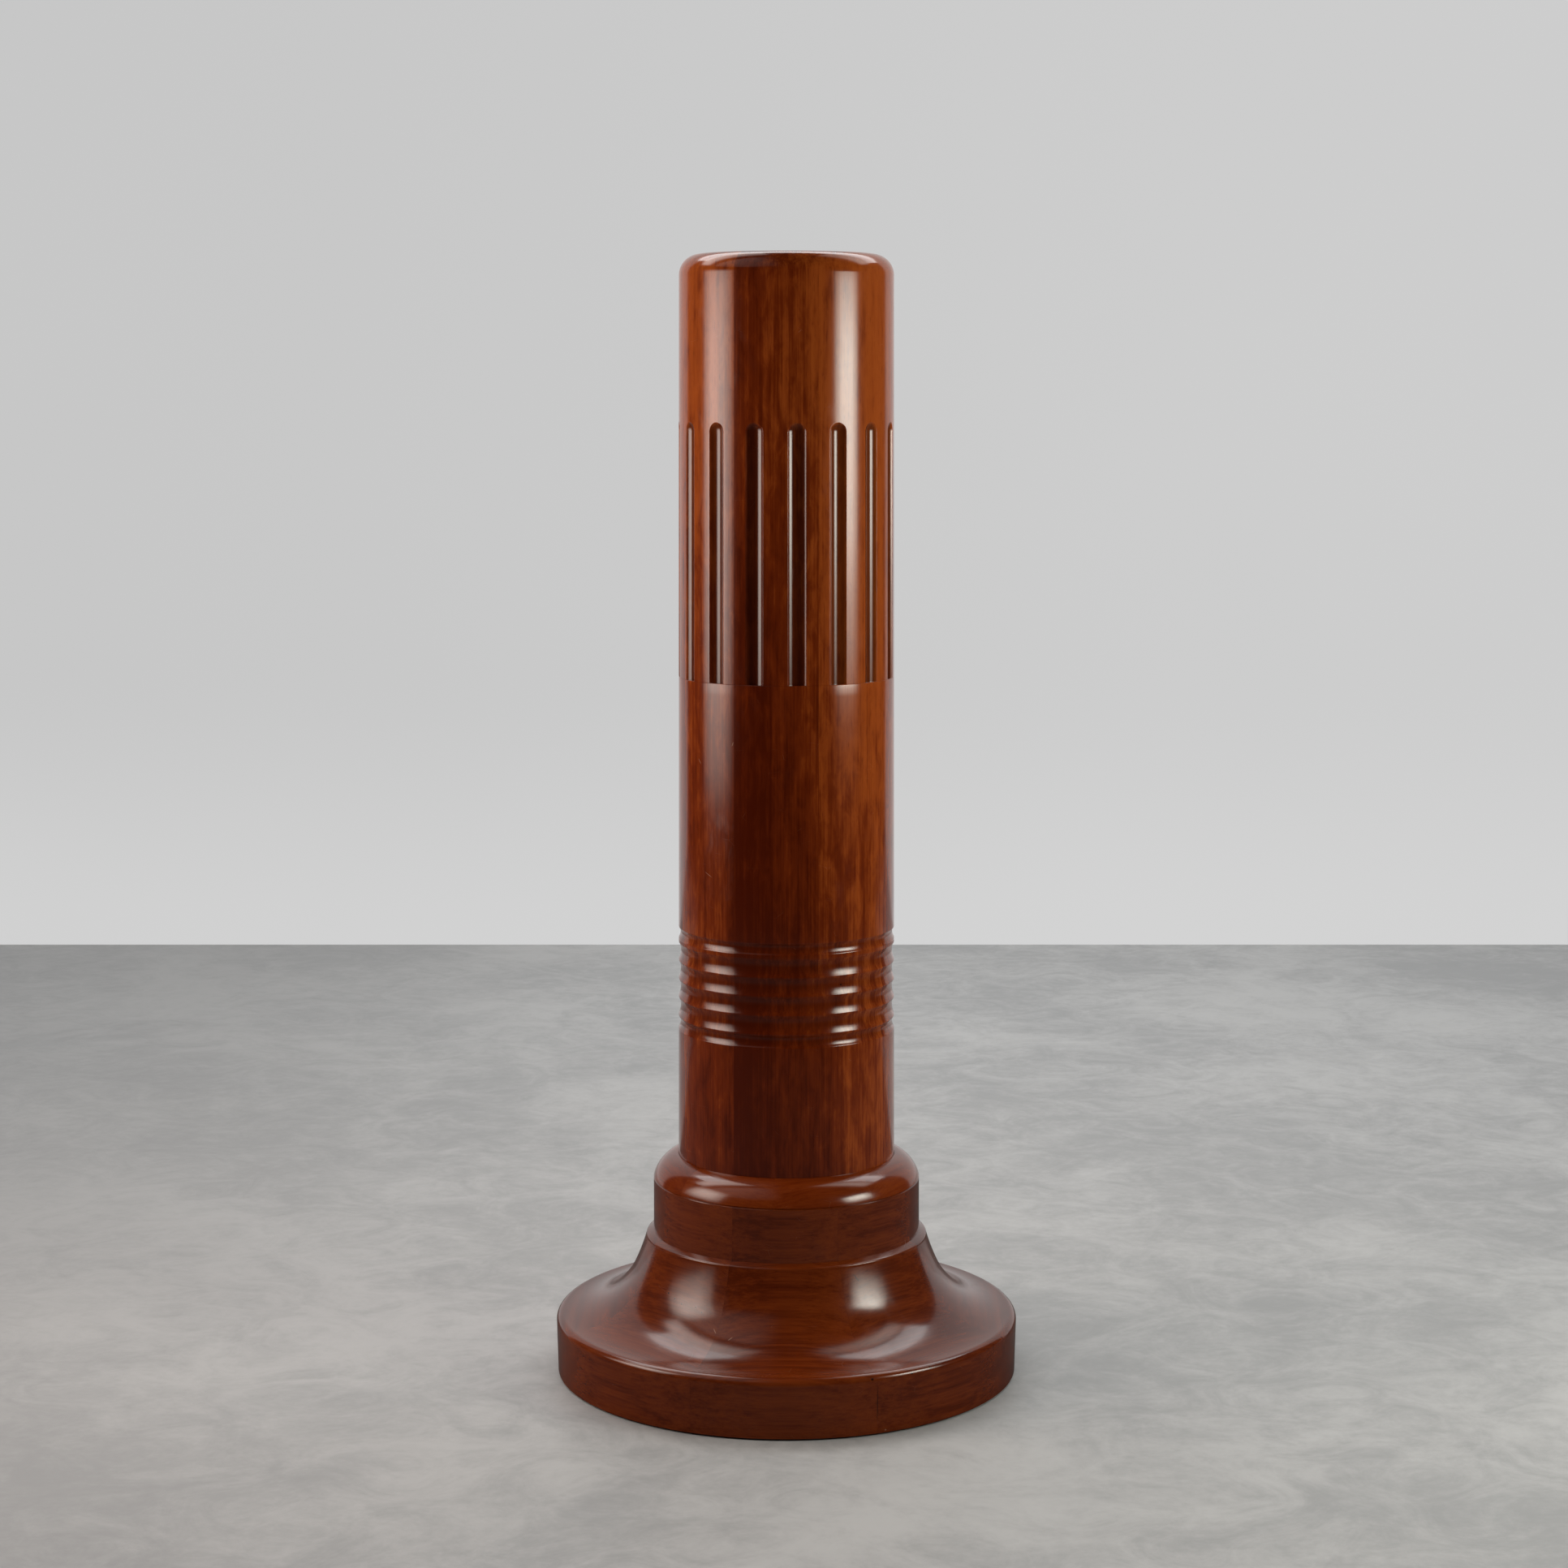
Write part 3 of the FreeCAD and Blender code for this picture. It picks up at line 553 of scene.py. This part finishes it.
# A row of five dents and a long scratch on the bell, a crack in the flat behind the right edge,
# three nicks in the rim and a seam that opens there, and three pale scrapes.
# Dents and nicks are only dark spots, with no hollow in the surface: painted shade. The crack, the dark
# scratch and the open seam are dark lines of their own.
foot_dent_shade_and_gaps = [
    on_face(foot_section, -48.5, 110.5, (3.0, 6.0, 2.4)),
    on_face(foot_section, -44.5, 107.5, (2.4, 6.0, 2.4)),
    on_face(foot_section, -40.5, 104.5, (2.6, 6.0, 2.0)),
    on_face(foot_section, -34.0, 104.5, (2.2, 6.0, 2.2)),
    on_face(foot_section, -31.0, 101.0, (2.2, 6.0, 1.8)),
    on_face(foot_section, 28.0, 134.5, (13.0, 8.0, 1.3), 55.0),
    (114.0, 237.0, rim_top, (1.4, 26.0, 6.0), 0.0),
    on_face(foot_section, 20.5, 58.5, (4.0, 6.0, 3.0)),
    on_face(foot_section, 31.0, 58.5, (3.4, 6.0, 2.6)),
    on_face(foot_section, 36.5, 60.0, (4.0, 6.0, 2.4)),
    on_face(foot_section, foot_seam, 32.0, (1.0, 8.0, 44.0)),
]
foot_scratches = [
    on_face(foot_section, -24.0, 87.5, (9.0, 8.0, 1.0), 40.0),
    on_face(foot_section, -18.0, 83.0, (7.0, 8.0, 1.0), -35.0),
    on_face(foot_section, 24.0, 4.5, (2.6, 6.0, 2.0)),
]
mark_wood(foot_wood, foot_dent_shade_and_gaps, dent_shade_and_gap_colour, 0.85)
mark_wood(foot_wood, foot_scratches, (0.42, 0.24, 0.16, 1), 0.55)
for block in blocks:
    block.data.materials.append(foot_wood)

# ---------------------------------------------------------------- Felt pads
# Eight dark felt discs under the rim, one to each block, stuck on. They lift the foot 2 mm and
# leave the thin dark line at the floor.
pads = []
pad_radius = 18.0
pad_circle = 225.125
for index in range(8):
    turn = math.radians(foot_seam + (index - 0.5) * stave_angle)
    middle = (pad_circle * math.sin(turn), -pad_circle * math.cos(turn))
    fluff = np.random.default_rng(40 + index)
    section = [(0.0, 0.0), (0.6, 0.0), (0.94, 0.0), (0.985, 0.25), (1.0, 0.8), (0.995, 1.5),
               (0.97, 1.95), (0.0, foot_floor)]
    vertices, faces = [(middle[0], middle[1], 0.0)], []
    sides = 72
    edge = 1.0 - 0.02 * fluff.random(sides)
    for share, height in section[1:-1]:
        for side in range(sides):
            a = 2 * math.pi * side / sides
            r = pad_radius * share * (edge[side] if share > 0.95 else 1.0)
            vertices.append((middle[0] + r * math.cos(a), middle[1] + r * math.sin(a), height))
    vertices.append((middle[0], middle[1], foot_floor))
    rings = len(section) - 2
    for side in range(sides):
        after = (side + 1) % sides
        faces.append((0, 1 + after, 1 + side))
        for ring in range(rings - 1):
            low, high = 1 + ring * sides, 1 + (ring + 1) * sides
            faces.append((low + side, low + after, high + after, high + side))
        last = 1 + (rings - 1) * sides
        faces.append((last + side, last + after, len(vertices) - 1))
    mesh = bpy.data.meshes.new("pad_%d" % (index + 1))
    mesh.from_pydata([(x / 1000, y / 1000, z / 1000) for x, y, z in vertices], [], faces)
    mesh.shade_smooth()
    mesh.set_sharp_from_angle(angle=math.radians(50))
    pad = bpy.data.objects.new("pad_%d" % (index + 1), mesh)
    bpy.context.scene.collection.objects.link(pad)
    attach(pad, "root")
    pads.append(pad)
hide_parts("felt_pads")

felt = bpy.data.materials.new("felt")
felt.use_nodes = True
felt_shader = felt.node_tree.nodes["Principled BSDF"]
felt_place = felt.node_tree.nodes.new("ShaderNodeTexCoord").outputs["Object"]
fibres = noise(felt.node_tree, felt_place, 900.0, 4.0, 0.7, 2.0)
felt_colour = mix_colours(felt.node_tree, fibres, (0.012, 0.011, 0.010, 1), (0.05, 0.045, 0.04, 1))
felt.node_tree.links.new(felt_colour, felt_shader.inputs["Base Color"])
felt_bump = add(felt.node_tree, "ShaderNodeBump", None, Strength=0.6, Distance=0.0006, Height=fibres)
felt.node_tree.links.new(felt_bump.outputs["Normal"], felt_shader.inputs["Normal"])
felt_shader.inputs["Roughness"].default_value = 0.95
felt_shader.inputs["Sheen Weight"].default_value = 0.4
for pad in pads:
    pad.data.materials.append(felt)

# ---------------------------------------------------------------- Top board
# The round board let into the end of the column, polished like it. Its grain lies flat, from
# left to right.


def board_wood(name, turn, dark, middle, light, clean, coat):
    """Wood on a flat board, whose grain runs level and is turned by this angle."""
    material = bpy.data.materials.new(name)
    material.use_nodes = True
    tree = material.node_tree
    shader = tree.nodes["Principled BSDF"]
    place = tree.nodes.new("ShaderNodeTexCoord").outputs["Object"]
    lying = add(tree, "ShaderNodeMapping", {"vector_type": "POINT"}, Vector=place,
                Rotation=(0.0, math.radians(90), math.radians(turn)), Location=(3.1, 1.7, 0.4)).outputs[0]
    wood = add(tree, "ShaderNodeGroup", {"node_tree": mahogany}, Plank=lying, Dark=(*dark, 1),
               Middle=(*middle, 1), Light=(*light, 1), Figure=0.4)
    marks = add(tree, "ShaderNodeGroup", {"node_tree": wear}, Position=place, Clean=clean, Worn=clean + 0.15)
    pale = mix_colours(tree, maths(tree, "MULTIPLY", marks.outputs["Scratches"], 0.25), wood.outputs["Color"],
                       (0.5, 0.3, 0.2, 1))
    tree.links.new(pale, shader.inputs["Base Color"])
    tree.links.new(marks.outputs["Roughness"], shader.inputs["Roughness"])
    bump = add(tree, "ShaderNodeBump", None, Strength=0.08, Distance=0.0004, Height=wood.outputs["Ripple"])
    tree.links.new(bump.outputs["Normal"], shader.inputs["Normal"])
    shader.inputs["Coat Weight"].default_value = coat
    shader.inputs["Coat Roughness"].default_value = 0.1
    return material


def dress(node, material):
    """Gives a piece of the CAD model this material in all of its slots."""
    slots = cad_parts[node].data.materials
    for slot in range(max(1, len(slots))):
        if slot < len(slots):
            slots[slot] = material
        else:
            slots.append(material)


dress("top_board", board_wood("top_mahogany", 0.0, (0.08, 0.009, 0.001), (0.18, 0.027, 0.003),
                              (0.3, 0.06, 0.009), 0.22, 0.25))

# ---------------------------------------------------------------- Hidden wood
# The loose tongues, the two boards and the anchor block inside, and the bottom board: plain
# softwood and birch that were never polished.
plain_wood = board_wood("plain_wood", 35.0, (0.30, 0.17, 0.08), (0.46, 0.29, 0.15),
                        (0.58, 0.40, 0.23), 0.6, 0.0)
for node in ("top_backing_board", "middle_board", "anchor_block", "bottom_board"):
    dress(node, plain_wood)
upright_wood = board_wood("tongue_wood", 90.0, (0.33, 0.20, 0.10), (0.5, 0.33, 0.18),
                          (0.62, 0.45, 0.28), 0.6, 0.0)
dress("column_tongues", upright_wood)

# ---------------------------------------------------------------- Steel fittings
# The tie rod with its nuts and washers, and the wood screws: zinc-plated steel.
steel = bpy.data.materials.new("zinc_steel")
steel.use_nodes = True
steel_shader = steel.node_tree.nodes["Principled BSDF"]
steel_place = steel.node_tree.nodes.new("ShaderNodeTexCoord").outputs["Object"]
bloom = noise(steel.node_tree, steel_place, 160.0, 4.0, 0.6)
steel.node_tree.links.new(mix_colours(steel.node_tree, bloom, (0.42, 0.42, 0.40, 1), (0.66, 0.66, 0.64, 1)),
                          steel_shader.inputs["Base Color"])
steel.node_tree.links.new(maths(steel.node_tree, "MULTIPLY_ADD", bloom, 0.25, 0.25),
                          steel_shader.inputs["Roughness"])
steel_shader.inputs["Metallic"].default_value = 1.0
for node in ("tie_rod", "rod_nuts", "rod_washers", "top_screws", "bottom_screws"):
    dress(node, steel)

# ---------------------------------------------------------------- Floor and wall
# A floor of cloudy, cool grey concrete and a paler wall behind. The wall is only there from the
# front, so that the back of the pedestal can be seen too.


def flat_piece(name, corners, material):
    mesh = bpy.data.meshes.new(name)
    mesh.from_pydata(corners, [], [tuple(range(len(corners)))])
    mesh.materials.append(material)
    piece = bpy.data.objects.new(name, mesh)
    bpy.context.scene.collection.objects.link(piece)
    return piece


floor_grey = bpy.data.materials.new("floor_grey")
floor_grey.use_nodes = True
floor_tree = floor_grey.node_tree
floor_place = floor_tree.nodes.new("ShaderNodeTexCoord").outputs["Object"]
clouds = noise(floor_tree, floor_place, 1.6, 7.0, 0.62, 0.6)
swirls = noise(floor_tree, floor_place, 9.0, 8.0, 0.68, 1.6)
specks = noise(floor_tree, floor_place, 60.0, 4.0, 0.7)
cloudy = maths(floor_tree, "MULTIPLY_ADD", specks, 0.14, maths(floor_tree, "MULTIPLY", clouds, 0.5))
cloudy = maths(floor_tree, "MULTIPLY_ADD", swirls, 0.36, cloudy)
floor_colour = mix_colours(floor_tree, between(floor_tree, cloudy, 0.38, 0.62),
                           (0.325, 0.334, 0.34, 1), (0.49, 0.5, 0.502, 1))
floor_axes = add(floor_tree, "ShaderNodeSeparateXYZ", None, Vector=floor_place).outputs
# Painted shade: the floor is darkened towards the left.
painted_left_shade = maths(floor_tree, "SUBTRACT", 1.0, between(floor_tree, floor_axes["X"], -1.1, 0.1))
floor_colour = mix_colours(floor_tree, maths(floor_tree, "MULTIPLY", painted_left_shade, 0.5), floor_colour,
                           (0.2, 0.203, 0.205, 1))
floor_shader = floor_tree.nodes["Principled BSDF"]
floor_tree.links.new(floor_colour, floor_shader.inputs["Base Color"])
floor_tree.links.new(maths(floor_tree, "MULTIPLY_ADD", clouds, 0.3, 0.35), floor_shader.inputs["Roughness"])
flat_piece("floor", [(-15, -15, 0), (15, -15, 0), (15, 15, 0), (-15, 15, 0)], floor_grey)

wall_paint = bpy.data.materials.new("wall_paint")
wall_paint.use_nodes = True
wall_tree = wall_paint.node_tree
wall_shader = wall_tree.nodes["Principled BSDF"]
wall_shader.inputs["Base Color"].default_value = (0.6, 0.6, 0.6, 1)
wall_shader.inputs["Roughness"].default_value = 0.9
wall_place = wall_tree.nodes.new("ShaderNodeTexCoord").outputs["Object"]
wall_axes = add(wall_tree, "ShaderNodeSeparateXYZ", None, Vector=wall_place).outputs
# The wall glows for camera and mirror rays. Its painted light is brighter to the right and towards the floor,
# and the paint has cloudy patches too.
shade = mix_colours(wall_tree, between(wall_tree, wall_axes["X"], -1.6, 1.3),
                    (0.575, 0.575, 0.575, 1), (0.62, 0.62, 0.62, 1))
painted_light_near_floor = maths(wall_tree, "SUBTRACT", 1.0, between(wall_tree, wall_axes["Z"], 0.0, 0.55))
shade = mix_colours(wall_tree, maths(wall_tree, "MULTIPLY", painted_light_near_floor, 0.6), shade, (0.69, 0.69, 0.69, 1))
cloudy_paint = noise(wall_tree, wall_place, 1.2, 3.0, 0.6)
shade = mix_colours(wall_tree, maths(wall_tree, "MULTIPLY", cloudy_paint, 0.12), shade, (0.5, 0.5, 0.5, 1))
glow = add(wall_tree, "ShaderNodeEmission", None, Color=shade, Strength=1.0)
rays = wall_tree.nodes.new("ShaderNodeLightPath").outputs
mirrored = maths(wall_tree, "MAXIMUM", rays["Is Glossy Ray"], rays["Is Transmission Ray"])
seen = maths(wall_tree, "MAXIMUM", rays["Is Camera Ray"], mirrored)
lit = wall_tree.nodes.new("ShaderNodeMixShader")
wall_tree.links.new(seen, lit.inputs[0])
wall_tree.links.new(wall_shader.outputs[0], lit.inputs[1])
wall_tree.links.new(glow.outputs[0], lit.inputs[2])
one_sided = wall_tree.nodes.new("ShaderNodeMixShader")
wall_tree.links.new(wall_tree.nodes.new("ShaderNodeNewGeometry").outputs["Backfacing"], one_sided.inputs[0])
wall_tree.links.new(lit.outputs[0], one_sided.inputs[1])
wall_tree.links.new(wall_tree.nodes.new("ShaderNodeBsdfTransparent").outputs[0], one_sided.inputs[2])
wall_tree.links.new(one_sided.outputs[0], wall_tree.nodes["Material Output"].inputs["Surface"])
flat_piece("wall", [(-15, 2.565, 0), (15, 2.565, 0), (15, 2.565, 9), (-15, 2.565, 9)], wall_paint)

# ---------------------------------------------------------------- Studio
# Two soft boxes just outside the view, a strip above on each side, a weak panel over the front
# left and a light for the background. Drapes and a dark floor mat that only reflections see keep
# the middle and the lower part of the polished column dark.


def soft_box(name, place, aim, width, height, radiance, colour, across, upward):
    """An area light at a place, aimed at a point, with its brightness drawn over its face."""
    data = bpy.data.lights.new(name, "AREA")
    data.shape, data.size, data.size_y = "RECTANGLE", width, height
    data.energy = radiance * width * height * math.pi
    data.color = colour
    data.use_nodes = True
    tree = data.node_tree
    face = tree.nodes.new("ShaderNodeNewGeometry").outputs["Parametric"]
    axes = add(tree, "ShaderNodeSeparateXYZ", None, Vector=face).outputs
    level = 1.0
    for axis, stops in ((axes[0], across), (axes[1], upward)):
        ramp = add(tree, "ShaderNodeValToRGB", None, Fac=axis)
        ramp.color_ramp.interpolation = "EASE"
        while len(ramp.color_ramp.elements) < len(stops):
            ramp.color_ramp.elements.new(0.5)
        for element, (position, value) in zip(ramp.color_ramp.elements, stops):
            element.position, element.color = position, (value, value, value, 1)
        level = maths(tree, "MULTIPLY", level, ramp.outputs[0])
    tree.links.new(level, tree.nodes["Emission"].inputs["Strength"])
    lamp = bpy.data.objects.new(name, data)
    bpy.context.scene.collection.objects.link(lamp)
    lamp.location = place
    sight = mathutils.Vector(aim) - mathutils.Vector(place)
    lamp.rotation_euler = sight.to_track_quat("-Z", "Y").to_euler()
    lamp.visible_camera = False
    return lamp


def beside(azimuth, distance, height):
    turn = math.radians(azimuth)
    return (distance * math.sin(turn), -distance * math.cos(turn), height)


soft_box("left_box", beside(-76, 1.4, 0.985), (0, 0, 0.985), 1.05, 1.13, 7.4, (1.0, 0.86, 0.77),
         [(0.0, 0.0), (0.12, 0.5), (0.35, 1.0), (0.65, 1.0), (0.88, 0.5), (1.0, 0.0)],
         [(0.0, 0.0), (0.09, 0.4), (0.28, 0.85), (0.5, 1.0), (0.65, 0.95), (0.8, 0.5), (1.0, 0.0)])
soft_box("right_box", beside(65, 1.75, 0.94), (0, 0, 0.94), 1.0, 0.82, 15.5, (1.0, 0.97, 0.86),
         [(0.0, 0.0), (0.15, 0.5), (0.33, 1.0), (0.67, 1.0), (0.85, 0.5), (1.0, 0.0)],
         [(0.0, 0.0), (0.2, 0.3), (0.45, 0.85), (0.72, 1.0), (0.88, 0.55), (1.0, 0.0)])
soft_box("left_strip", (-1.4, 0.6, 2.5), (-1.4, 0.6, 0.0), 2.4, 0.95, 4.8, (1.0, 0.9, 0.84),
         [(0.0, 0.6), (0.25, 1.0), (0.55, 0.9), (1.0, 0.35)],
         [(0.0, 0.0), (0.35, 1.0), (0.65, 1.0), (1.0, 0.0)])
soft_box("right_strip", (1.35, 0.45, 2.5), (1.35, 0.45, 0.0), 1.9, 0.85, 2.8, (1.0, 0.95, 0.88),
         [(0.0, 0.4), (0.5, 1.0), (0.8, 1.0), (1.0, 0.5)], [(0.0, 0.0), (0.35, 1.0), (0.65, 1.0), (1.0, 0.0)])
soft_box("ceiling_panel", (-1.7, -1.6, 2.6), (-1.7, -1.6, 0.0), 3.2, 3.0, 0.9, (1.0, 0.9, 0.85),
         [(0.0, 0.6), (0.5, 1.0), (0.8, 0.7), (1.0, 0.0)], [(0.0, 0.0), (0.5, 0.5), (1.0, 1.0)])
soft_box("background_light", (0.3, 1.75, 3.1), (0.3, 1.75, 0.0), 5.0, 1.2, 3.6, (1.0, 1.0, 1.0),
         [(0.0, 1.0), (1.0, 1.0)], [(0.0, 1.0), (1.0, 1.0)])

drape = bpy.data.materials.new("black_drape")
drape.use_nodes = True
drape_shader = drape.node_tree.nodes["Principled BSDF"]
drape_shader.inputs["Base Color"].default_value = (0.012, 0.012, 0.012, 1)
drape_shader.inputs["Roughness"].default_value = 1.0
drape_shader.inputs["Specular IOR Level"].default_value = 0.0
side_cloth = drape.copy()
side_cloth.name = "grey_side_cloth"
side_cloth.node_tree.nodes["Principled BSDF"].inputs["Base Color"].default_value = (0.05, 0.05, 0.05, 1)
curtain = [beside(azimuth, 3.2, 0.0) for azimuth in range(-110, 111, 10)]
drapes = []
for index, (near, after) in enumerate(zip(curtain[:-1], curtain[1:])):
    corners = [near, after, (after[0], after[1], 4.0), (near[0], near[1], 4.0)]
    drapes.append(flat_piece("drape_%d" % (index + 1), corners, drape))
roof_corners = [(-5, -5, 4.0), (5, -5, 4.0), (5, 2.4, 4.0), (-5, 2.4, 4.0)]
drapes.append(flat_piece("drape_roof", roof_corners, drape))
floor_mat = drape.copy()
floor_mat.name = "dark_floor_mat"
floor_mat.node_tree.nodes["Principled BSDF"].inputs["Base Color"].default_value = (0.09, 0.09, 0.09, 1)
mat_tree = floor_mat.node_tree
from_above = mat_tree.nodes.new("ShaderNodeMixShader")
mat_tree.links.new(mat_tree.nodes.new("ShaderNodeNewGeometry").outputs["Backfacing"], from_above.inputs[0])
mat_tree.links.new(mat_tree.nodes["Principled BSDF"].outputs[0], from_above.inputs[1])
mat_tree.links.new(mat_tree.nodes.new("ShaderNodeBsdfTransparent").outputs[0], from_above.inputs[2])
mat_tree.links.new(from_above.outputs[0], mat_tree.nodes["Material Output"].inputs["Surface"])
mat_corners = [(-4, -3.3, 0.002), (4, -3.3, 0.002), (4, 0.9, 0.002), (-4, 0.9, 0.002)]
drapes.append(flat_piece("floor_mat", mat_corners, floor_mat))
left_corners = [(-3, -0.9, 0), (-3, 2.5, 0), (-3, 2.5, 4), (-3, -0.9, 4)]
right_corners = [(3, 2.5, 0), (3, -0.9, 0), (3, -0.9, 4), (3, 2.5, 4)]
drapes.append(flat_piece("left_cloth", left_corners, side_cloth))
drapes.append(flat_piece("right_cloth", right_corners, side_cloth))
for cloth in drapes:
    cloth.visible_camera = cloth.visible_diffuse = cloth.visible_shadow = cloth.visible_transmission = False

world = bpy.data.worlds.new("studio")
bpy.context.scene.world = world
world.use_nodes = True
world_rays = world.node_tree.nodes.new("ShaderNodeLightPath").outputs
mirrored = maths(world.node_tree, "MAXIMUM", world_rays["Is Glossy Ray"], world_rays["Is Transmission Ray"])
seen = maths(world.node_tree, "MAXIMUM", world_rays["Is Camera Ray"], mirrored)
background = world.node_tree.nodes["Background"]
room = mix_colours(world.node_tree, seen, (0.085, 0.085, 0.085, 1), (0.64, 0.64, 0.64, 1))
world.node_tree.links.new(room, background.inputs["Color"])
background.inputs["Strength"].default_value = 1.0
